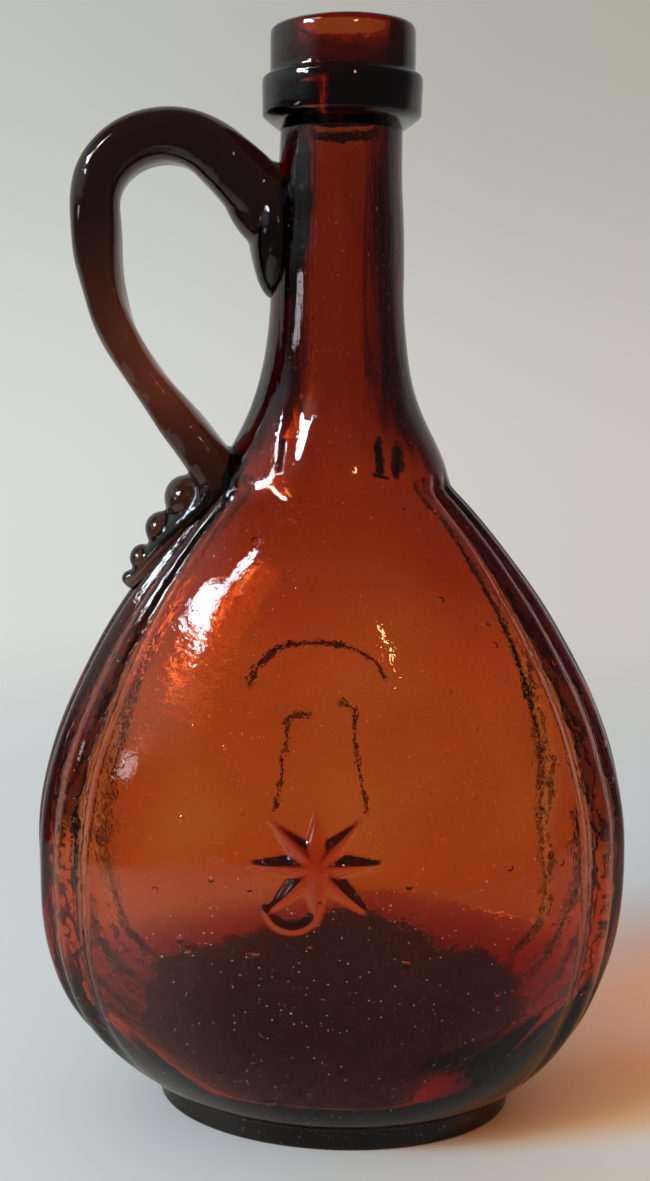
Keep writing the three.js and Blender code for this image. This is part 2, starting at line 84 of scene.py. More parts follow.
TAIL_HALF_THICK, TAIL_HALF_WIDE, TAIL_NARROWING = 2.3, 7.5, 3.5
KNOBS = ((4.4, 4.6), (10.0, 3.5), (15.4, 2.7), (19.2, 1.7))
KNOB_STAND, KNOB_BREADTH = 0.6, 1.25
LOBE_ROWS, LOBE_STEPS = 15, 28
HANDLE_VOXEL, HANDLE_PASSES = 0.4, 7

# Uneven skins: seed of the random draw, length of the waves and their depth
OUTSIDE_SKIN, INSIDE_SKIN, POOL_SKIN = (3, 22, 0.12), (8, 30, 0.22), (11, 24, 0.4)
LIP_SWELL, LIP_WAVES = (21, 16, 0.16), (5, 20, 0.1)
HANDLE_SKINS = ((31, 13, 0.22), (32, 13, 0.22), (33, 13, 0.22))
OUTSIDE_CORDS, INSIDE_CORDS = 14, 15
RIPPLE_WAVES = 10

# Glass: colours that the light takes on in its depth, and painted shade and painted glints on its skin
GLASS_IOR = 1.52
ORANGE_AMBER, ORANGE_DENSITY = (0.9, 0.5, 0.02), 780
DARK_AMBER, DARK_DENSITY = (0.84, 0.45, 0.06), 1000
RED_AMBER, RED_DENSITY = (0.69, 0.44, 0.29), 520
# painted shade: black of the shaded creases and dark lines, and of the pool
SHADE_AND_LINE_BLACK, POOL_SHADE_BLACK = (0.02, 0.014, 0.01), (0.012, 0.01, 0.009)
# painted glints: pale specks for the light off seeds
PALE_SEED_GLINT = (0.66, 0.6, 0.52)

# Dark lines and painted shade on the panels, in millimetres: strokes as start, end and width,
# and shaded creases as scale of their wander, place beside the groove and width in parts of a rib
ARCH_MIDDLE, ARCH_RADIUS = (-2.3, 74.9), 16.9
FIGURE = (
    ((-8.9, 73.0), (-11.6, 51.5), 0.8), ((5.2, 72.2), (8.8, 49.4), 0.8),
    ((-10.1, 72.7), (-8.7, 73.6), 1.0), ((-8.7, 73.6), (-4.2, 73.4), 0.8),
    ((1.6, 75.0), (5.2, 72.2), 1.0),
)
RIB_START_SHADES = (
    ((-9.8, 138.4), (-10.6, 133.7), 1.4), ((8.0, 138.3), (8.4, 133.2), 1.7),
    ((11.8, 137.2), (11.5, 132.7), 2.0), ((7.2, 132.4), (9.6, 131.8), 0.7),
)
CREASE_SHADES = ((190, 0.14, 0.03), (260, -0.1, 0.024), (230, -0.38, 0.024))
LARGE_SEED = ((-16, 0, 43.9), (-15.8, 0, 44.1))

# Table: rings in millimetres, and the painted glows of light on it as start, end, scale and reach
# of their wavering edge, outer and inner distance in metres, and colour
TABLE_RADII, TABLE_LEVEL, TABLE_STEPS = (20, 200, 500, 1000, 1600), -0.02, 96
PAINTED_GLOWS = (
    ((40, -6, 0), (130, 70, 0), 40, 0.012, 0.056, 0.01, (0.84, 0.50, 0.22)),
    ((30, -18, 0), (66, 2, 0), 60, 0.01, 0.026, 0.003, (0.80, 0.34, 0.11)),
)

# Lamps and camera: lengths in metres, and the frame in pixels
LAMP_AIM, COLD_DAY = 0.1, (0.78, 0.9, 1)
SENSOR, FOCAL_LENGTH, FRAME_HEIGHT, FRAME_SHIFT = 36, 1450, 1181, -7.5
CAMERA_TURN, CAMERA_PITCH = math.radians(2), math.radians(10)
CAMERA_AWAY, CAMERA_LEVEL = 0.2875, 0.1587
LIGHT_BOUNCES = 20


# Shape of the blown body

def bend(start, start_pull, end_pull, end, count):
    """Cubic curve: leaves start towards start_pull and comes into end from end_pull."""
    t = np.linspace(0, 1, count)[:, None]
    a, b, c, d = (np.array(p, float) for p in (start, start_pull, end_pull, end))
    return (1 - t) ** 3 * a + 3 * (1 - t) ** 2 * t * b + 3 * (1 - t) * t ** 2 * c + t ** 3 * d


def side_line(axis):
    """Half size against height along one axis of the oval: heel, side and flare are cubic
    curves end to end, and the neck tapers straight to the lip."""
    foot, belly, shoulder = FOOT_HALF[axis], BELLY_HALF[axis], SHOULDER_HALF[axis]
    heel_pull = HEEL_PULL * (belly - foot) / (BELLY_HALF[0] - FOOT_HALF[0])
    side_pull = SIDE_PULL * (belly - shoulder) / (BELLY_HALF[0] - SHOULDER_HALF[0])
    return np.vstack([
        bend((foot, FOOT_HEIGHT),
             (foot + heel_pull * math.cos(HEEL_ANGLE), FOOT_HEIGHT + heel_pull * math.sin(HEEL_ANGLE)),
             (belly, BELLY_LEVEL - BELLY_PULL_DOWN), (belly, BELLY_LEVEL), 80)[:-1],
        bend((belly, BELLY_LEVEL), (belly, BELLY_LEVEL + BELLY_PULL_UP),
             (shoulder + side_pull * math.cos(SHOULDER_ANGLE),
              SHOULDER_LEVEL - side_pull * math.sin(SHOULDER_ANGLE)),
             (shoulder, SHOULDER_LEVEL), 120)[:-1],
        bend((shoulder, SHOULDER_LEVEL),
             (shoulder - FLARE_PULL * math.cos(FLARE_ANGLE),
              SHOULDER_LEVEL + FLARE_PULL * math.sin(FLARE_ANGLE)),
             (NECK_RADIUS, FLARE_TOP - NECK_PULL), (NECK_RADIUS, FLARE_TOP), 80),
        [(NECK_TOP_RADIUS, NECK_TOP), (NECK_TOP_RADIUS, TOP)],
    ])


SIDES = [side_line(0), side_line(1)]


def half_at(axis, z):
    """Half width (axis 0) or half depth (axis 1) of the outside at height z: a mean over a
    short stretch near the shoulder, which rounds its edge, most on the panels."""
    z = np.asarray(z, float)
    reach = SHOULDER_BLEND[axis] * np.exp(-((z - SHOULDER_LEVEL) / BLEND_HEIGHT) ** 2)
    near = z[..., None] + reach[..., None] * np.linspace(-1, 1, 9)
    return np.interp(near, SIDES[axis][:, 1], SIDES[axis][:, 0]).mean(axis=-1)


def smooth(value, low, high):
    """0 below low, 1 above high, and an easy curve between them."""
    t = np.clip((np.asarray(value, float) - low) / (high - low), 0, 1)
    return t * t * (3 - 2 * t)


def drift(z):
    """How far the axis has wandered towards +X: a power curve from below the shoulder."""
    risen = np.clip((z - DRIFT_START) / (TOP - DRIFT_START), 0, None)
    return DRIFT_AT_TOP * risen ** DRIFT_POWER


def settle(x, y, z):
    """Moves true oval points with the drift of the neck and the skew of the foot."""
    low = 1 - smooth(z, 0, SKEW_HEIGHT)
    return np.stack([x + drift(z), y - FOOT_SKEW * low * x, z], axis=-1)


def ripple(points, seed, wave, depth):
    """Uneven skin of blown glass: a sum of ten sine waves in random directions."""
    rng = np.random.default_rng(seed)
    turns = rng.normal(size=(RIPPLE_WAVES, 3))
    turns /= np.linalg.norm(turns, axis=1)[:, None]
    lengths = wave * rng.uniform(0.6, 1.7, RIPPLE_WAVES)
    phases = rng.uniform(0, 2 * math.pi, RIPPLE_WAVES)
    waves = np.sin(2 * math.pi * (points @ turns.T) / lengths + phases)
    return depth * waves.sum(axis=-1) / math.sqrt(RIPPLE_WAVES)


def cords(points, seed):
    """Upright cords in the neck: a ripple drawn out along the height, none on the body."""
    drawn = ripple(points * (1, 1, 0.07), seed, 4.5, 0.07)
    return drawn * smooth(points[..., 2], SHOULDER_LEVEL - 4, SHOULDER_LEVEL + 12)


def spread(*zones):
    """Values from zones of (start, end, count), each evenly filled without its end."""
    return np.concatenate([np.linspace(a, b, n, endpoint=False) for a, b, n in zones])


def rib_phase(angle):
    """Place among the ribs: a groove at each half, a crest at each whole number, and less
    than nothing on the two panels."""
    side = np.abs(np.arctan2(np.sin(angle), np.abs(np.cos(angle))))
    return (RIB_EDGE - side) / RIB_PITCH


def groove(angle):
    """Depth of the grooves between the ribs round a section, nothing on the two panels."""
    phase = rib_phase(angle)
    wave = 0.5 - 0.5 * np.cos(2 * math.pi * phase)
    return np.where(phase < 0, 0, RIB_DEPTH * wave ** 1.5)


def star_rise(x, z):
    """Height of the eight pointed star: distance in from its outline, as a steep bevel and
    then a flat facet up to each ridge. A low curl joins two of its lower points."""
    dx, dz = x - STAR_PLACE[0], z - STAR_PLACE[1]
    radius, turn = np.hypot(dx, dz), np.arctan2(dx, dz)
    share = math.pi / 8
    folded = np.abs((turn + share) % (2 * share) - share)
    point = np.round(turn / (2 * share)) * 2 * share
    reach = STAR_RADIUS - STAR_SHORTER * np.cos(point) ** 4
    run_x, run_y = STAR_VALLEY * math.cos(share) - reach, STAR_VALLEY * math.sin(share)
    inward = run_x * radius * np.sin(folded) - run_y * (radius * np.cos(folded) - reach)
    inside = np.clip(inward / np.hypot(run_x, run_y), 0, None)
    star = STAR_BEVEL * (1 - np.exp(-inside / BEVEL_RUN)) + STAR_SLOPE * inside
    ring = np.hypot(dx - CURL_PLACE[0], dz - CURL_PLACE[1])
    curl = CURL_HEIGHT * np.exp(-((ring - CURL_RADIUS) / CURL_WIDTH) ** 2)
    return np.maximum(star, curl * smooth(CURL_PLACE[1] - dz, 0, 2))


def oval(angles, half_wide, half_deep, z, cut):
    """Rings of an oval loft: each point goes in along the oval's own normal by cut."""
    c, s = np.cos(angles)[None, :], np.sin(angles)[None, :]
    a, b = half_wide[:, None], half_deep[:, None]
    nx, ny = c / a, s / b
    size = np.hypot(nx, ny)
    height = np.broadcast_to(z[:, None], cut.shape)
    return settle(a * c - nx / size * cut, b * s - ny / size * cut, height)


def body_outside():
    """Grid of the outside: hollow underside, foot ring and edge, then the ribbed oval up
    to the end of the neck. Beside the handle the flare is pressed towards a flat: each
    point moves by its distance from a plane, less and less away from the middle."""
    deg = math.radians
    angles = spread(
        (deg(-39), deg(39), 66), (deg(39), deg(72), 16), (deg(72), deg(108), 56),
        (deg(108), deg(141), 16), (deg(141), deg(219), 66), (deg(219), deg(253), 18),
        (deg(253), deg(280), 66), (deg(280), deg(321), 20),
    )
    shares = np.linspace(0.06, 1, 12)
    turns = np.radians(np.linspace(0, 90, 6))
    levels = np.concatenate([
        spread((1.6, 4.2, 3), (4.2, 5.4, 3), (5.4, 48, 38), (48, 94, 86),
               (94, SHOULDER_LEVEL, 30), (SHOULDER_LEVEL, FLARE_TOP, 24), (FLARE_TOP, NECK_END, 14)),
        [NECK_END]])
    back = FOOT_EDGE * (1 - np.sin(turns))
    wide, deep = (
        np.concatenate([HOLLOW_HALF[axis] * shares, FLAT_RING_HALF[axis], FOOT_HALF[axis] - back,
                        half_at(axis, levels)]) for axis in (0, 1))
    z = np.concatenate([PUSH_UP * (1 - shares ** 2), [0, 0], FOOT_EDGE * (1 - np.cos(turns)),
                        levels])
    ribs = smooth(SHOULDER_LEVEL + 2.5 - z, 0, 5) * smooth(z - FOOT_HEIGHT, 0, 20)
    cut = ribs[:, None] * groove(angles)[None, :]
    plain = oval(angles, wide, deep, z, cut)
    front = plain[..., 1] < 0
    lift = np.where(front & (z[:, None] > 40) & (z[:, None] < 90),
                    star_rise(plain[..., 0], plain[..., 2]), 0)
    skin = smooth(z, 3, 14)[:, None] * ripple(plain, *OUTSIDE_SKIN) + cords(plain, OUTSIDE_CORDS)
    off = plain - PRESSED_PLACE
    pressed = off @ PRESSED_FACING * np.exp(-((off / PRESSED_REACH) ** 2).sum(axis=-1))
    return oval(angles, wide, deep, z, cut - lift - skin + pressed)


def body_inside():
    """Grid of the inside, from the end of the neck down to a floor of pooled glass: below
    POOL_TOP the wall curves in and meets the pool's plane, which lies higher at the back,
    in a crease round an oval. Also each point's distance out from that oval."""
    angles = np.linspace(0, 2 * math.pi, 144, endpoint=False)
    levels = np.concatenate([
        [NECK_END], spread((205, FLARE_TOP, 18), (FLARE_TOP, SHOULDER_LEVEL, 28),
                           (SHOULDER_LEVEL, POOL_TOP, 68)), [POOL_TOP]])
    wall = np.interp(levels, WALL_LEVELS, WALL_THICKNESS)
    shares = np.concatenate([np.linspace(0.995, 0.66, 44), np.linspace(0.6, 0.03, 8)])
    halves = []
    for axis in (0, 1):
        outer = half_at(axis, levels)
        inner = outer - wall * np.sqrt(1 + np.gradient(outer, levels) ** 2)
        halves.append(np.concatenate([inner, inner[-1] * shares]))
    z = np.concatenate([levels, np.full(len(shares), POOL_TOP)])
    plain = oval(angles, *halves, z, np.zeros((len(z), len(angles))))
    skin = ripple(plain, *INSIDE_SKIN) + 1.5 * cords(plain, INSIDE_CORDS)
    inside = oval(angles, *halves, z, (1 - smooth(z, 185, 200)[:, None]) * skin)
    edge = np.hypot(inside[..., 0] / POOL_HALF[0], inside[..., 1] / POOL_HALF[1])
    away = 30 * (edge - 1)
    floor_rows, edge = inside[len(levels):], edge[len(levels):]
    pool = POOL_MIDDLE + POOL_TILT * floor_rows[..., 1] + ripple(floor_rows, *POOL_SKIN)
    rise = np.clip((edge - 1) / np.maximum(edge / shares[:, None] - 1, 1e-6), 0, 1)
    floor_rows[..., 2] = pool + (POOL_TOP - pool) * (1 - (1 - rise) ** 0.7)
    away[:len(levels)] += 2 * (levels - POOL_TOP)[:, None]
    return inside, away


def fan(first, around, pole, outward):
    """Triangles from one ring to a pole point."""
    i = np.arange(around)
    j = (i + 1) % around
    faces = np.stack([first + i, first + j, np.full(around, pole)], axis=1)
    return faces if outward else faces[:, ::-1]


def rows(first, count, around, outward=True):
    """Quads between stacked rings of equal count, wound to face outwards."""
    i = np.arange(around)
    j = (i + 1) % around
    low = first + np.arange(count - 1)[:, None] * around
    quads = np.stack([low + i, low + j, low + around + j, low + around + i], axis=-1).reshape(-1, 4)
    return quads if outward else quads[:, ::-1]


def new_mesh(name, points, *face_sets):
    """Smooth object at the origin from points in millimetres and arrays of faces."""
    mesh = bpy.data.meshes.new(name)
    faces = [face for part in face_sets for face in part.tolist()]
    mesh.from_pydata((points * 0.001).tolist(), [], faces)
    mesh.shade_smooth()
    mesh.update()
    piece = bpy.data.objects.new(name, mesh)
    bpy.context.scene.collection.objects.link(piece)
    return piece


def blown_body():
    """The body as one closed wall: outside up to the neck end, inside back down. Each point
    carries its place among the ribs and its distance out from the pool's edge."""
    outer = body_outside()
    inner, away = body_inside()
    outer_rows, outer_steps = outer.shape[:2]
    inner_rows, inner_steps = inner.shape[:2]
    points = np.vstack([outer.reshape(-1, 3), inner.reshape(-1, 3),
                        [[0, 0, PUSH_UP], [0, 0, inner[-1, :, 2].mean()]]])
    bottom_pole, floor_pole = len(points) - 2, len(points) - 1
    inside = outer_rows * outer_steps
    outer_turn, inner_turn = (
        np.arctan2(ring[:, 1], ring[:, 0] - drift(NECK_END)) % (2 * math.pi)
        for ring in (outer[-1], inner[0]))
    piece = new_mesh(
        "flask_glass", points, rows(0, outer_rows, outer_steps),
        fan(0, outer_steps, bottom_pole, False), rows(inside, inner_rows, inner_steps),
        fan(inside + (inner_rows - 1) * inner_steps, inner_steps, floor_pole, True),
        stitch(inside - outer_steps, outer_turn, inside, inner_turn))
    level = outer[..., 2]
    turn = np.arctan2(outer[..., 1] / half_at(1, level),
                      (outer[..., 0] - drift(level)) / half_at(0, level))
    ribbed = (level > 9) & (level < SHOULDER_LEVEL + 1)
    phase = np.full(len(points), -1.0)
    phase[:inside] = np.where(ribbed, rib_phase(turn), -1).reshape(-1)
    pool_edge = np.full(len(points), 50.0)
    pool_edge[inside:bottom_pole] = away.reshape(-1)
    pool_edge[floor_pole] = -30
    for name, values in (("rib_phase", phase), ("pool_edge", pool_edge)):
        piece.data.attributes.new(name, "FLOAT", "POINT").data.foreach_set("value", values)
    return piece


def stitch(first_a, turn_a, first_b, turn_b):
    """Triangles between two rings of unequal count: walking round, the ring whose next
    point comes first takes the step."""
    order_a, order_b = np.argsort(turn_a), np.argsort(turn_b)
    a_turn, b_turn = turn_a[order_a], turn_b[order_b]
    na, nb = len(order_a), len(order_b)
    faces, i, j = [], 0, 0
    while i < na or j < nb:
        next_a = a_turn[(i + 1) % na] + (2 * math.pi if i + 1 >= na else 0)
        next_b = b_turn[(j + 1) % nb] + (2 * math.pi if j + 1 >= nb else 0)
        a, b = first_a + order_a[i % na], first_b + order_b[j % nb]
        if j >= nb or (i < na and next_a <= next_b):
            faces.append((a, first_a + order_a[(i + 1) % na], b))
            i += 1
        else:
            faces.append((a, first_b + order_b[(j + 1) % nb], b))
            j += 1
    return np.array(faces)


# Shape of the lip

def lip_profile():
    """Closed (radius, height) outline of the lip: seat in the neck wall, undercut, round
    collar, step, round rim, mouth and bore."""

    def corner(radius, z, size, start, end, count):
        turn = np.radians(np.linspace(start, end, count))
        return np.stack([radius + size * np.cos(turn), z + size * np.sin(turn)], axis=1)

    def upright(radius, start, end, count):
        return np.stack([np.full(count, radius), np.linspace(start, end, count)], axis=1)

    seat = NECK_TOP_RADIUS - SEAT_ROOM
    return np.vstack([
        [(seat, NECK_TOP + 0.2)],
        corner(COLLAR_RADIUS - MOUTH_EDGE, COLLAR_FOOT + 0.5, MOUTH_EDGE, -60, 0, 5),
        upright(COLLAR_RADIUS, COLLAR_FOOT + 1.5, RIM_FOOT - 2.2, 5),
        corner(COLLAR_RADIUS - LIP_EDGE, RIM_FOOT - LIP_EDGE, LIP_EDGE, 15, 90, 6),
        corner(RIM_RADIUS + STEP_EDGE, RIM_FOOT + STEP_EDGE, STEP_EDGE, 270, 180, 4),
        upright(RIM_RADIUS, RIM_FOOT + 1.2, TOP - 2.2, 6),
        corner(RIM_RADIUS - LIP_EDGE, TOP - LIP_EDGE, LIP_EDGE, 10, 90, 7),
        corner(BORE_RADIUS + MOUTH_EDGE, TOP - MOUTH_EDGE, MOUTH_EDGE, 90, 180, 6),
        upright(BORE_RADIUS, TOP - 2.5, NECK_END - SEAT_ROOM, 6),
        [(seat, NECK_END - SEAT_ROOM)],
    ])


def applied_lip():
    """Profile turned round the neck's axis, then pushed about by low waves and tilted, as
    a lip tooled by hand."""
    outline = lip_profile()
    turns = np.linspace(0, 2 * math.pi, 192, endpoint=False)
    radius, z = outline[:, 0][:, None], outline[:, 1][:, None]
    x, y = radius * np.cos(turns), radius * np.sin(turns)
    flat = np.stack([x, y, np.broadcast_to(z, x.shape)], axis=-1)
    out = smooth(radius, 11.8, 13.4)
    scale = 1 + out * ripple(flat, *LIP_SWELL) / radius
    tilt = smooth(z, RIM_FOOT, TOP) * 0.012 * x
    level = z + tilt + out * ripple(flat, *LIP_WAVES)
    points = np.stack([x * scale + drift(z), y * scale, level], axis=-1).reshape(-1, 3)
    i = np.arange(len(turns))
    j = (i + 1) % len(turns)
    last = (len(outline) - 1) * len(turns)
    close = np.stack([last + i, last + j, j, i], axis=1)
    return new_mesh("lip_glass", points, rows(0, len(outline), len(turns)), close)


# Shape of the handle

def side_point(z, stand):
    """Point of the body's handle side at height z, moved out of the glass by stand."""
    z = np.asarray(z, float)
    half = half_at(0, z)
    rise = half_at(0, z + 0.5) - half_at(0, z - 0.5)
    size = np.hypot(rise, 1)
    return np.stack([drift(z) - half - stand / size, z - rise / size * stand], axis=-1)


def strap_path():
    """Middle line of the strap in the plane of the handle: straight out of the neck, round
    the bend and down the limb into the shoulder, at even steps."""
    bend_x = -(HANDLE_REACH - SIDE_THICK / 2 - BEND_RADIUS)
    bend_z = COLLAR_FOOT + HANDLE_RISE - CREST_THICK / 2 - BEND_RADIUS
    turns = np.radians(np.linspace(BEND_START, 180, 60))
    arc = np.stack([bend_x + BEND_RADIUS * np.cos(turns), bend_z + BEND_RADIUS * np.sin(turns)], axis=1)
    root_x = -(NECK_RADIUS - HANDLE_BITE)
    run = (root_x - arc[0, 0]) / math.sin(math.radians(BEND_START))
    root = np.array([root_x, arc[0, 1] - run * math.cos(math.radians(BEND_START))])
    end = side_point(SHOULDER_LEVEL, -LIMB_SUNK)
    lay = LIMB_LAY * np.array([-math.cos(LIMB_ANGLE), math.sin(LIMB_ANGLE)])
    limb = bend(arc[-1], arc[-1] + (0, -LIMB_PULL), end + lay, end, 80)
    line = np.vstack([root + (arc[0] - root) * np.linspace(0, 1, 12)[:, None], arc[1:], limb[1:]])
    length = np.concatenate([[0], np.cumsum(np.linalg.norm(np.diff(line, axis=0), axis=1))])
    even = np.linspace(0, length[-1], 260)
    return np.stack([np.interp(even, length, line[:, k]) for k in (0, 1)], axis=1)


def eased(share, stations, values):
    """Value along a piece that runs with an easy curve from station to station."""
    low = np.clip(np.searchsorted(stations, share) - 1, 0, len(stations) - 2)
    stations, values = np.array(stations), np.array(values)
    t = smooth((share - stations[low]) / (stations[low + 1] - stations[low]), 0, 1)
    return values[low] + (values[low + 1] - values[low]) * t


def sweep(path, half_thick, half_wide, flat_inside, count=40, bow=0.0):
    """Closed tube along a path in the plane of the handle: the section is an oval with
    flattened sides, flatter still on its inner side by the power flat_inside, and bowed
    round the body by bow times the square of the distance from the plane."""
    tangent = np.gradient(path, axis=0)
    tangent /= np.linalg.norm(tangent, axis=1)[:, None]
    turn = np.linspace(0, 2 * math.pi, count, endpoint=False)
    c, s = np.cos(turn), np.sin(turn)
    section = np.where(c > 0, np.abs(c) ** OUTER_POWER, -np.abs(c) ** flat_inside)
    y = half_wide[:, None] * np.sign(s) * np.abs(s) ** ACROSS_POWER
    out = half_thick[:, None] * section - bow * y ** 2
    x = path[:, 0][:, None] + tangent[:, 1][:, None] * out
    z = path[:, 1][:, None] - tangent[:, 0][:, None] * out
    points = np.stack([x, y, z], axis=-1).reshape(-1, 3)
    ends = np.array([[path[0, 0], 0, path[0, 1]], [path[-1, 0], 0, path[-1, 1]]])
    n = len(path)
    return np.vstack([points, ends]), [
        rows(0, n, count), fan(0, count, n * count, False), fan((n - 1) * count, count, n * count + 1, True)]


def lobe(place, halves, tilt=0.0):
    """Ellipsoid of glass turned in the plane of the handle, on a grid of two angles."""
    rise = np.radians(np.linspace(-84, 84, LOBE_ROWS))
    turn = np.linspace(0, 2 * math.pi, LOBE_STEPS, endpoint=False)
    x = halves[0] * np.cos(rise)[:, None] * np.cos(turn)
    y = halves[1] * np.cos(rise)[:, None] * np.sin(turn)
    z = halves[2] * np.sin(rise)[:, None] * np.ones_like(turn)
    flat = np.stack([x, y, z], axis=-1).reshape(-1, 3)
    poles = np.array([[0, 0, -halves[2]], [0, 0, halves[2]]])
    points = np.vstack([flat, poles])
    c, s = math.cos(tilt), math.sin(tilt)
    turned = np.stack([points[:, 0] * c + points[:, 2] * s, points[:, 1],
                       -points[:, 0] * s + points[:, 2] * c], axis=1)
    count = len(flat)
    return turned + np.array(place), [
        rows(0, LOBE_ROWS, LOBE_STEPS), fan(0, LOBE_STEPS, count, False),
        fan(count - LOBE_STEPS, LOBE_STEPS, count + 1, True)]


def merged(parts):
    """Several closed shapes as one list of points and faces."""
    points, faces, start = [], [], 0
    for part_points, part_faces in parts:
        points.append(part_points)
        faces += [face + start for face in part_faces]
        start += len(part_points)
    return np.vstack(points), faces


def fused(piece, voxel, passes):
    """The overlapping shapes of a mesh flowed into one skin: voxels, then an even smooth."""
    remesh = piece.modifiers.new("fuse", "REMESH")
    remesh.mode = "VOXEL"
    remesh.voxel_size = voxel * 0.001
    soften = piece.modifiers.new("soften", "SMOOTH")
    soften.factor, soften.iterations = 0.5, passes
    bpy.context.view_layer.update()
    graph = bpy.context.evaluated_depsgraph_get()
    mesh = bpy.data.meshes.new_from_object(piece.evaluated_get(graph))
    piece.modifiers.clear()
    mesh.name = piece.name
    piece.data = mesh
    mesh.shade_smooth()
    return piece


def strap_handle():
    """Strap, pads and crimped tail run together as one gather of glass."""
    path = strap_path()
    share = np.linspace(0, 1, len(path))
    root = np.maximum(np.clip(share / ROOT_ROUNDING, 0, 1) ** 0.5, ROOT_LEAST)
    thick, wide = eased(share, *STRAP_THICK) / 2, eased(share, *STRAP_WIDE) / 2
    strap = sweep(path, thick * root, wide * root, INNER_POWER)
    root_z = COLLAR_FOOT - ROOT_PAD_DROP
    root_pad = lobe((float(drift(root_z) - half_at(0, root_z)), 0, root_z), ROOT_PAD_HALVES)
    web = lobe(WEB_PLACE, WEB_HALVES, WEB_TILT)
    low, high = side_point(SHOULDER_LEVEL, 0), side_point(SHOULDER_LEVEL, 1)
    slope = math.atan2(high[1] - low[1], low[0] - high[0])
    end_pad = lobe((low[0], 0, low[1]), END_PAD_HALVES, slope)
    drop = np.linspace(0, TAIL_DROP, 60)
    tail_share = drop / TAIL_DROP
    taper = np.sqrt(1 - 0.9 * tail_share ** 3)
    tail = sweep(side_point(SHOULDER_LEVEL - drop, TAIL_STAND), TAIL_HALF_THICK * taper,
                 (TAIL_HALF_WIDE - TAIL_NARROWING * tail_share) * taper, 1.0, 28, TAIL_BOW)
    knobs = []
    for level, radius in KNOBS:
        x, z = side_point(SHOULDER_LEVEL - level, radius * 0.5 + KNOB_STAND)
        knobs.append(lobe((x, 0, z), (radius, radius * KNOB_BREADTH, radius)))
    points, faces = merged([strap, root_pad, web, end_pad, tail, *knobs])
    points = points + np.stack([ripple(points, *skin) for skin in HANDLE_SKINS], axis=-1)
    return fused(new_mesh("handle_glass", points, *faces), HANDLE_VOXEL, HANDLE_PASSES)


# Finishes

class Tree:
    """Node tree of a material or a world, with short helpers that mostly return a socket.
    Places and distances in it are in metres."""

    def __init__(self, owner, place="Object"):
        owner.use_nodes = True
        self.owner = owner
        self.nodes, self.links = owner.node_tree.nodes, owner.node_tree.links
        self.nodes.clear()
        self.place = self.node("TexCoord").outputs[place]
        self.x, self.y, self.z = self.node("SeparateXYZ", self.place).outputs
        self.path = self.node("LightPath").outputs

    def fill(self, socket, value):
        """Sets a number or colour on a socket, or links another socket to it."""
        if isinstance(value, (int, float, tuple)):
            socket.default_value = value
        else:
            self.links.new(value, socket)

    def node(self, kind, *values, **settings):
        """New node with its settings, and its first sockets filled with the values."""
        node = self.nodes.new("ShaderNode" + kind)
        for name, setting in settings.items():
            setattr(node, name, setting)
        for socket, value in zip(node.inputs, values):
            self.fill(socket, value)
        return node

    def math(self, kind, *values):
        return self.node("Math", *values, operation=kind).outputs[0]

    def times(self, first, *others):
        for other in others:
            first = self.math("MULTIPLY", first, other)
        return first

    def vector(self, kind, *values, out="Vector"):
        return self.node("VectorMath", *values, operation=kind).outputs[out]

    def length(self, value):
        return self.vector("LENGTH", value, out="Value")

    def joined(self, *values):
        return self.node("CombineXYZ", *values).outputs[0]

    def attribute(self, name):
        return self.node("Attribute", attribute_name=name).outputs["Fac"]

    def noise(self, scale, detail, rough=0.5, place=None, out="Fac"):
        node = self.node("TexNoise")
        for name, value in (("Vector", place or self.place), ("Scale", scale), ("Detail", detail),
                            ("Roughness", rough)):
            self.fill(node.inputs[name], value)
        return node.outputs[out]

    def waver(self, value, scale, detail, reach):
        """A value moved up and down by noise, by half of reach at most."""
        moved = self.times(self.math("SUBTRACT", self.noise(scale, detail), 0.5), reach)
        return self.math("ADD", value, moved)

    def ramp(self, value, low, high, start=0.0, end=1.0):
        """An easy curve from start, at and below low, to end, at and above high."""
        node = self.node("MapRange", interpolation_type="SMOOTHSTEP")
        for name, number in (("Value", value), ("From Min", low), ("From Max", high),
                             ("To Min", start), ("To Max", end)):
            self.fill(node.inputs[name], number)
        return node.outputs[0]

    def band(self, value, middle, outer, inner):
        """1 within inner of a middle value, and 0 beyond outer."""
        return self.ramp(self.math("ABSOLUTE", self.math("SUBTRACT", value, middle)), outer, inner)

    def mix(self, mask, first, second):
        """One colour where the mask is 0, and another where it is 1."""
        node = self.node("Mix", data_type="RGBA")
        for name, value in (("Factor", mask), ("A", first), ("B", second)):
            self.fill(node.inputs[name], (*value, 1) if isinstance(value, tuple) else value)
        return node.outputs["Result"]

    def either(self, mask, first, second):
        """One shader where the mask is 0, and another where it is 1."""
        return self.node("MixShader", mask, first, second).outputs[0]

    def gap(self, start, end, place):
        """Distance in metres from a straight line between two points in millimetres."""
        ax, ay, az = (v * 0.001 for v in start)
        bx, by, bz = (v * 0.001 - a for v, a in zip(end, (ax, ay, az)))
        away = self.vector("SUBTRACT", place, (ax, ay, az))
        along = self.vector("DOT_PRODUCT", away, (bx, by, bz), out="Value")
        share = self.math("DIVIDE", along, bx * bx + by * by + bz * bz)
        held = self.math("MINIMUM", self.math("MAXIMUM", share, 0.0), 1.0)
        step = self.node("VectorMath", (bx, by, bz), operation="SCALE")
        self.links.new(held, step.inputs["Scale"])
        return self.length(self.vector("SUBTRACT", away, step.outputs[0]))

    def spots(self, scale, radius, share):
        """1 in round spots of a radius in millimetres, in a share of the cells."""
        cells = self.node("TexVoronoi")
        self.fill(cells.inputs["Vector"], self.place)
        self.fill(cells.inputs["Scale"], scale)
        pick = self.node("SeparateColor", cells.outputs["Color"]).outputs[0]
        dot = self.ramp(cells.outputs["Distance"], radius * 0.001 * scale, radius * 0.0005 * scale)
        return self.times(dot, self.math("LESS_THAN", pick, share))


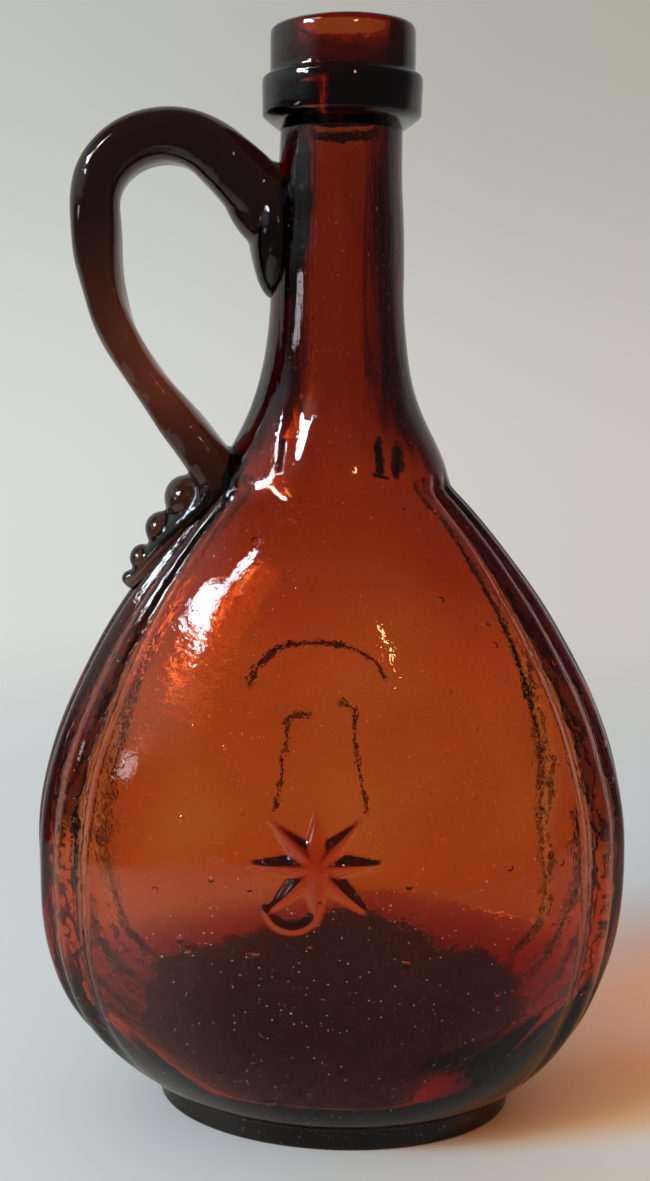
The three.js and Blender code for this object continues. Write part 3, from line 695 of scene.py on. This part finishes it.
class Amber(Tree):
    """Amber glass: a clear surface that bends light, with the colour in its depth. Bumps
    move the surface, tints colour it, and a few worn places are duller."""

    def __init__(self, name, colour, density):
        super().__init__(bpy.data.materials.new(name))
        self.surface = self.node("BsdfPrincipled")
        self.surface.inputs["Base Color"].default_value = (1, 1, 1, 1)
        self.surface.inputs["Transmission Weight"].default_value = 1
        self.surface.inputs["IOR"].default_value = GLASS_IOR
        clear = self.node("BsdfTransparent").outputs[0]
        lit = self.either(self.path["Is Shadow Ray"], self.surface.outputs[0], clear)
        depth = self.node("VolumeAbsorption", (*colour, 1), density).outputs[0]
        self.node("OutputMaterial", lit, depth)
        self.normal = None
        self.colour = (1, 1, 1)

    def bump(self, height, distance):
        """Moves the surface by a height field times a distance in millimetres."""
        node = self.node("Bump")
        node.inputs["Strength"].default_value = 1
        node.inputs["Distance"].default_value = distance * 0.001
        self.links.new(height, node.inputs["Height"])
        if self.normal is not None:
            self.links.new(self.normal, node.inputs["Normal"])
        self.normal = node.outputs["Normal"]
        self.links.new(self.normal, self.surface.inputs["Normal"])

    def waves(self, *layers):
        """Noise over the whole surface: scale, detail, roughness and depth of each layer."""
        for scale, detail, rough, depth in layers:
            self.bump(self.noise(scale, detail, rough), depth)

    def tint(self, mask, colour):
        """Colours the surface itself where the mask is 1."""
        self.colour = self.mix(mask, self.colour, colour)
        self.links.new(self.colour, self.surface.inputs["Base Color"])

    def worn(self, most):
        """Roughness from nothing up to a most, in soft patches."""
        patches = self.ramp(self.noise(45, 4, 0.7), 0.5, 0.8, 0.0, most)
        self.links.new(patches, self.surface.inputs["Roughness"])

    def strokes(self, lines, place):
        """1 inside straight lines in the plane of the panels: start, end and width of each."""
        inside = 0.0
        for start, end, width in lines:
            away = self.gap((start[0], 0, start[1]), (end[0], 0, end[1]), place)
            inside = self.math("MAXIMUM", inside, self.ramp(away, width * 0.0006, width * 0.0003))
        return inside


def blown_skin(glass, phase):
    """Waves of blown glass. Over them lie a torn patch at the left of the front, fine pits
    above the belly, streaks along the ribs, and cords up the neck, which it returns."""
    x, y, z = glass.x, glass.y, glass.z
    glass.waves((110, 2, 0.5, 0.06), (330, 3, 0.6, 0.035), (1100, 2, 0.6, 0.008))
    front = glass.ramp(y, -0.004, -0.012)
    torn = glass.times(glass.ramp(x, -0.013, -0.019), front, glass.ramp(z, 0.05, 0.062))
    glass.bump(glass.times(glass.noise(560, 3, 0.6), torn), 0.055)
    pits = glass.times(glass.spots(900, 0.28, 0.5), glass.ramp(z, 0.08, 0.095), front)
    glass.bump(pits, 0.04)
    streaks = glass.noise(560, 3, 0.6, glass.joined(glass.times(phase, 0.01), 0.0, glass.times(z, 0.1)))
    glass.bump(glass.times(streaks, glass.ramp(phase, 0.2, 0.4)), 0.16)
    drawn = glass.noise(460, 3, 0.6, glass.joined(x, y, glass.times(z, 0.05)))
    glass.bump(glass.times(drawn, glass.ramp(z, 0.128, 0.145)), 0.08)
    return drawn


def neck_colour_and_side_shade(glass, drawn):
    """Redder glass up the neck, and painted shade at its two sides, darker in streaks along its cords."""
    glass.tint(glass.ramp(glass.z, 0.08, 0.12), (0.82, 0.75, 0.9))
    glass.tint(glass.ramp(glass.z, 0.105, 0.165), (0.7, 0.85, 1))
    # painted shade at the neck's two sides, with darker streaks in it along the cords
    off = glass.math("ABSOLUTE", glass.math("SUBTRACT", glass.x, 0.0015))
    sides = glass.times(glass.ramp(off, 0.0064, 0.008), glass.ramp(glass.z, 0.135, 0.15))
    glass.tint(sides, (0.5, 0.5, 0.6))
    glass.tint(glass.times(sides, glass.ramp(drawn, 0.46, 0.53)), (0.1, 0.09, 0.08))


def wandering_panel(glass):
    """Place in the plane of the panels, moved by noise so that no line runs straight."""
    shift = glass.vector("SUBTRACT", glass.noise(220, 3, out="Color"), (0.5, 0.5, 0.5))
    moved = glass.vector("ADD", glass.place, glass.vector("MULTIPLY", shift, (0.0022, 0.0, 0.0022)))
    return glass.vector("MULTIPLY", moved, (1.0, 0.0, 1.0))


def dark_lines_and_shade(glass, phase, panel):
    """Dark broken lines: an arch over a tapered figure on the back panel, and painted shade in a
    ring behind the neck below the lip's seat, in short strokes in front where the ribs start,
    and in creases along the grooves."""
    y, z = glass.y, glass.z
    middle = (ARCH_MIDDLE[0] * 0.001, 0.0, ARCH_MIDDLE[1] * 0.001)
    round_arch = glass.length(glass.vector("SUBTRACT", panel, middle))
    arch = glass.band(round_arch, ARCH_RADIUS * 0.001, 0.0008, 0.0004)
    arch = glass.times(arch, glass.ramp(z, 0.0795, 0.0815))
    marks = glass.math("MAXIMUM", arch, glass.strokes(FIGURE, panel))
    marks = glass.times(marks, glass.ramp(y, 0.015, 0.02))
    # painted shade: a dark ring behind the neck, below the lip's seat
    seat_shade = glass.band(glass.waver(z, 300, 3, 0.0012), 0.1952, 0.001, 0.0006)
    marks = glass.math("MAXIMUM", marks, glass.times(seat_shade, glass.ramp(y, 0.002, 0.006)))
    # painted shade: short dark strokes where the ribs start
    start_shade = glass.times(glass.strokes(RIB_START_SHADES, panel), glass.ramp(y, -0.005, -0.008))
    marks = glass.math("MAXIMUM", marks, start_shade)
    rough = glass.noise(420, 3, 0.6)
    broken = glass.times(marks, glass.ramp(rough, 0.3, 0.36))
    # painted shade: dark creases along the grooves between the ribs
    for scale, side, width in CREASE_SHADES:
        between = glass.math("FRACT", glass.waver(phase, scale, 4, 0.6))
        crease = glass.band(between, 0.5 + side, width * 2, width)
        crease = glass.times(crease, glass.ramp(phase, 0.12, 0.2), glass.ramp(rough, 0.4, 0.45))
        broken = glass.math("MAXIMUM", broken, crease)
    # painted shade and dark lines, put into the glass's colour
    glass.tint(broken, SHADE_AND_LINE_BLACK)
    glass.bump(broken, -0.05)


def pool_shade(glass):
    """Painted shade on the pooled glass: nearly black inside a ragged edge, and darker
    round it at the left."""
    edge = glass.attribute("pool_edge")
    uneven = glass.times(glass.math("SUBTRACT", glass.noise(130, 5, 0.6), 0.5), 9.0)
    # painted shade: darker glass round the pool's edge, at the left
    glass.tint(glass.times(glass.ramp(edge, 17, 2), glass.ramp(glass.x, 0.004, -0.012)),
               (0.62, 0.5, 0.45))
    # painted shade: the pool nearly black inside its ragged edge
    glass.tint(glass.ramp(glass.math("ADD", edge, uneven), 2.0, 0.4), POOL_SHADE_BLACK)


def seeds_and_glints(glass, panel):
    """Seeds as round bumps, one of them large, and pale painted glints of seeds, most of them low down."""
    glass.bump(glass.spots(170, 0.8, 0.5), 0.14)
    glass.bump(glass.ramp(glass.gap(*LARGE_SEED, panel), 0.0022, 0.0014), 0.08)
    # painted glints: pale specks standing for light off the seeds
    seed_glints = glass.math("MAXIMUM", glass.spots(800, 0.19, 0.5), glass.spots(330, 0.28, 0.24))
    seed_glints = glass.times(seed_glints, glass.ramp(glass.z, 0.075, 0.045, 0.2, 1),
                       glass.ramp(glass.noise(350, 1), 0.34, 0.55, 0.15, 1))
    glass.tint(seed_glints, PALE_SEED_GLINT)
    # the glass is less clear under the painted glints
    glass.links.new(glass.math("SUBTRACT", 1.0, glass.times(seed_glints, 0.4)),
                    glass.surface.inputs["Transmission Weight"])


def body_glass():
    """Orange amber glass of the body, with painted shade and painted glints in its skin."""
    glass = Amber("orange_amber_glass", ORANGE_AMBER, ORANGE_DENSITY)
    phase = glass.attribute("rib_phase")
    drawn = blown_skin(glass, phase)
    neck_colour_and_side_shade(glass, drawn)
    panel = wandering_panel(glass)
    dark_lines_and_shade(glass, phase, panel)
    pool_shade(glass)
    seeds_and_glints(glass, panel)
    glass.worn(0.06)
    return glass.owner


def lip_glass():
    """Amber glass of the lip: orange at the mouth, and dark below a ragged edge where the
    neck runs up inside it."""
    glass = Amber("dark_amber_glass", DARK_AMBER, DARK_DENSITY)
    glass.waves((110, 2, 0.5, 0.09), (420, 3, 0.6, 0.05))
    glass.tint(glass.ramp(glass.waver(glass.z, 260, 4, 0.01), 0.2115, 0.2107), (0.4, 0.6, 0.8))
    glass.worn(0.06)
    return glass.owner


def handle_glass():
    """Brown red glass of the strap, darker at its bend and root, with painted shade on its tail,
    and short dark flecks and wrinkles where it was drawn and pressed on."""
    glass = Amber("red_amber_glass", RED_AMBER, RED_DENSITY)
    glass.waves((120, 3, 0.5, 0.2), (520, 3, 0.65, 0.06))
    glass.tint(glass.ramp(glass.z, 0.145, 0.184), (0.17, 0.24, 0.3))
    # painted shade: a darker, greyer tail
    glass.tint(glass.ramp(glass.z, 0.150, 0.132), (0.36, 0.38, 0.4))
    flecks = glass.times(glass.spots(430, 0.4, 0.4), glass.ramp(glass.noise(60, 2), 0.5, 0.6))
    glass.tint(flecks, (0.12, 0.08, 0.07))
    glass.worn(0.07)
    return glass.owner


def give(piece, material, node):
    """A piece takes its glass and the place of its solid, and rides on the flask."""
    piece.data.materials.append(material)
    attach(piece, "root")
    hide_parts(node)


give(blown_body(), body_glass(), "flask_body")
give(applied_lip(), lip_glass(), "applied_lip")
give(strap_handle(), handle_glass(), "handle")


# Floor, background and light

def table_top():
    """Flat round sheet just under the foot, in rings."""
    turn = np.linspace(0, 2 * math.pi, TABLE_STEPS, endpoint=False)
    radii = np.array(TABLE_RADII, float)[:, None]
    x, y = radii * np.cos(turn), radii * np.sin(turn)
    rings = np.stack([x, y, np.full_like(x, TABLE_LEVEL)], axis=-1).reshape(-1, 3)
    points = np.vstack([rings, [[0, 0, TABLE_LEVEL]]])
    return new_mesh("table_top", points, rows(0, len(TABLE_RADII), TABLE_STEPS, outward=False),
                    fan(0, TABLE_STEPS, len(rings), True))


def floor():
    """Pale table top that keeps the shadow near the flask and fades out far away. What the
    glass mirrors of it is dimmer, in painted shade darkest at the front, and ends at the
    front and at the left, as at a table's edge. Painted glows of amber light and a painted
    warm light lie on it to the right of the foot."""
    top = table_top()
    table = Tree(bpy.data.materials.new("pale_table"))
    mirrored = table.math("MAXIMUM", table.math(
        "SUBTRACT", table.path["Is Glossy Ray"], table.path["Is Transmission Ray"]), 0.0)
    # painted shade in what the glass mirrors of the table, darkest at the front
    front = table.ramp(table.gap((10, -120, 0), (160, -150, 0), table.place), 0.06, 0.13)
    mirrored_shade = table.mix(front, (0.22, 0.19, 0.17), (0.47, 0.45, 0.39))
    # painted warm light on the table to the right
    warm_light = table.ramp(table.gap((60, -70, 0), (180, -70, 0), table.place), 0.1, 0.03)
    tone = table.mix(mirrored, table.mix(warm_light, (0.62, 0.63, 0.62), (0.64, 0.55, 0.46)), mirrored_shade)
    lit = table.math("SUBTRACT", table.y, table.times(table.x, 0.07))
    lit = table.ramp(table.waver(lit, 40, 2, 0.006), -0.031, -0.017)
    # painted glows: amber light that came through the glass
    for start, end, scale, reach, outer, inner, colour in PAINTED_GLOWS:
        away = table.waver(table.gap(start, end, table.place), scale, 2, reach)
        glow = table.times(table.ramp(away, outer, inner), lit, 0.8)
        tone = table.mix(glow, tone, colour)
    paper = table.node("BsdfPrincipled")
    paper.inputs["Roughness"].default_value = 0.55
    table.links.new(tone, paper.inputs["Base Color"])
    fade = table.ramp(table.length(table.place), 0.15, 0.55)
    slant = table.waver(table.math("SUBTRACT", table.y, table.times(table.x, 0.42)), 28, 3, 0.04)
    for across, side in ((table.x, -0.265), (slant, -0.223)):
        end = table.times(mirrored, table.ramp(across, side, side * 1.02))
        fade = table.math("MAXIMUM", fade, end)
    clear = table.node("BsdfTransparent").outputs[0]
    table.node("OutputMaterial", table.either(fade, paper.outputs[0], clear))
    top.data.materials.append(table.owner)


def background():
    """Pale wall for what the camera and the glass see, dimmer above and warmer to the
    right; a dim room for reflections; and an even light for the rest."""
    world = bpy.data.worlds.new("pale_room")
    bpy.context.scene.world = world
    room = Tree(world, "Generated")
    path = room.path
    across = room.ramp(room.x, -0.3, 0.3)
    low = room.mix(across, (0.70, 0.73, 0.71), (0.60, 0.57, 0.51))
    high = room.mix(across, (0.52, 0.55, 0.52), (0.42, 0.40, 0.34))
    wall = room.mix(room.ramp(room.z, -0.12, 0.24), low, high)
    inner = room.math("MINIMUM", room.times(path["Glossy Depth"], 0.85), 1.0)
    seen = room.node("Background", room.mix(inner, wall, (0.05, 0.05, 0.05)))
    behind = room.mix(room.ramp(room.y, 0.1, 0.5), (0.1, 0.095, 0.095), (0.5, 0.5, 0.48))
    beside = room.times(room.ramp(room.x, -0.6, -0.9), room.ramp(room.z, 0.1, 0.28))
    reflected = room.node("Background", room.mix(beside, behind, (0.6, 0.64, 0.64)))
    even = room.node("Background", (0.95, 0.98, 1, 1), 0.55)
    unseen = room.either(path["Is Glossy Ray"], even.outputs[0], reflected.outputs[0])
    direct = room.math("MAXIMUM", path["Is Camera Ray"], path["Is Transmission Ray"])
    room.node("OutputWorld", room.either(direct, unseen, seen.outputs[0]))


def lamp(name, turn, away, size, power, colour, roll=0, shiny=True):
    """Soft box lamp that looks at the middle of the flask from a bearing and a height in
    degrees: 0 is straight in front and negative is to the left. Roll turns it in its plane.
    The glass mirrors it only where it is shiny."""
    light = bpy.data.lights.new(name, "AREA")
    light.shape = "RECTANGLE"
    light.size, light.size_y = size
    light.energy = power
    light.color = colour
    holder = bpy.data.objects.new(name, light)
    bpy.context.scene.collection.objects.link(holder)
    side, rise = (math.radians(v) for v in turn)
    aim = Vector((0, 0, LAMP_AIM))
    holder.location = aim + away * Vector((
        math.sin(side) * math.cos(rise), -math.cos(side) * math.cos(rise), math.sin(rise)))
    facing = (aim - holder.location).to_track_quat("-Z", "Y")
    holder.rotation_euler = (facing @ Quaternion((0, 0, 1), math.radians(roll))).to_euler()
    holder.visible_glossy = shiny


def camera():
    """View from in front: ten degrees down and two degrees round to the left."""
    view = bpy.data.cameras.new("camera")
    view.sensor_width = SENSOR
    view.lens = SENSOR * FOCAL_LENGTH / FRAME_HEIGHT
    view.shift_x = FRAME_SHIFT / FRAME_HEIGHT
    view.clip_start = 0.01
    holder = bpy.data.objects.new("camera", view)
    bpy.context.scene.collection.objects.link(holder)
    holder.location = (-CAMERA_AWAY * math.sin(CAMERA_TURN), -CAMERA_AWAY * math.cos(CAMERA_TURN),
                       CAMERA_LEVEL)
    ahead = math.cos(CAMERA_PITCH)
    look = Vector((math.sin(CAMERA_TURN) * ahead, math.cos(CAMERA_TURN) * ahead, -math.sin(CAMERA_PITCH)))
    holder.rotation_euler = look.to_track_quat("-Z", "Y").to_euler()
    bpy.context.scene.camera = holder


floor()
background()
lamp("window", (-67, 31), 1.25, (0.24, 0.14), 6.2, COLD_DAY)
lamp("window_top", (-54, 39), 1.25, (0.05, 0.32), 2.6, COLD_DAY, roll=-35)
lamp("window_foot", (-58, 27.5), 1.25, (0.06, 0.2), 2.0, (0.82, 0.92, 1), roll=46)
lamp("far_window", (-67, 6), 1.3, (0.2, 0.12), 0.42, (0.92, 0.97, 1))
lamp("warm_streak", (-46, 38), 1.25, (0.02, 0.2), 0.22, (1, 0.42, 0.1), roll=-35)
lamp("daylight", (-50, 32), 1.35, (0.6, 0.6), 6, (0.95, 0.98, 1), shiny=False)
lamp("warm_lamp", (19, 22), 1.3, (0.025, 0.09), 0.36, (1, 0.52, 0.2))
camera()
scene = bpy.context.scene
scene.view_settings.view_transform = "Standard"
scene.cycles.caustics_refractive = False
scene.cycles.caustics_reflective = False
scene.cycles.max_bounces = LIGHT_BOUNCES
scene.cycles.transmission_bounces = LIGHT_BOUNCES
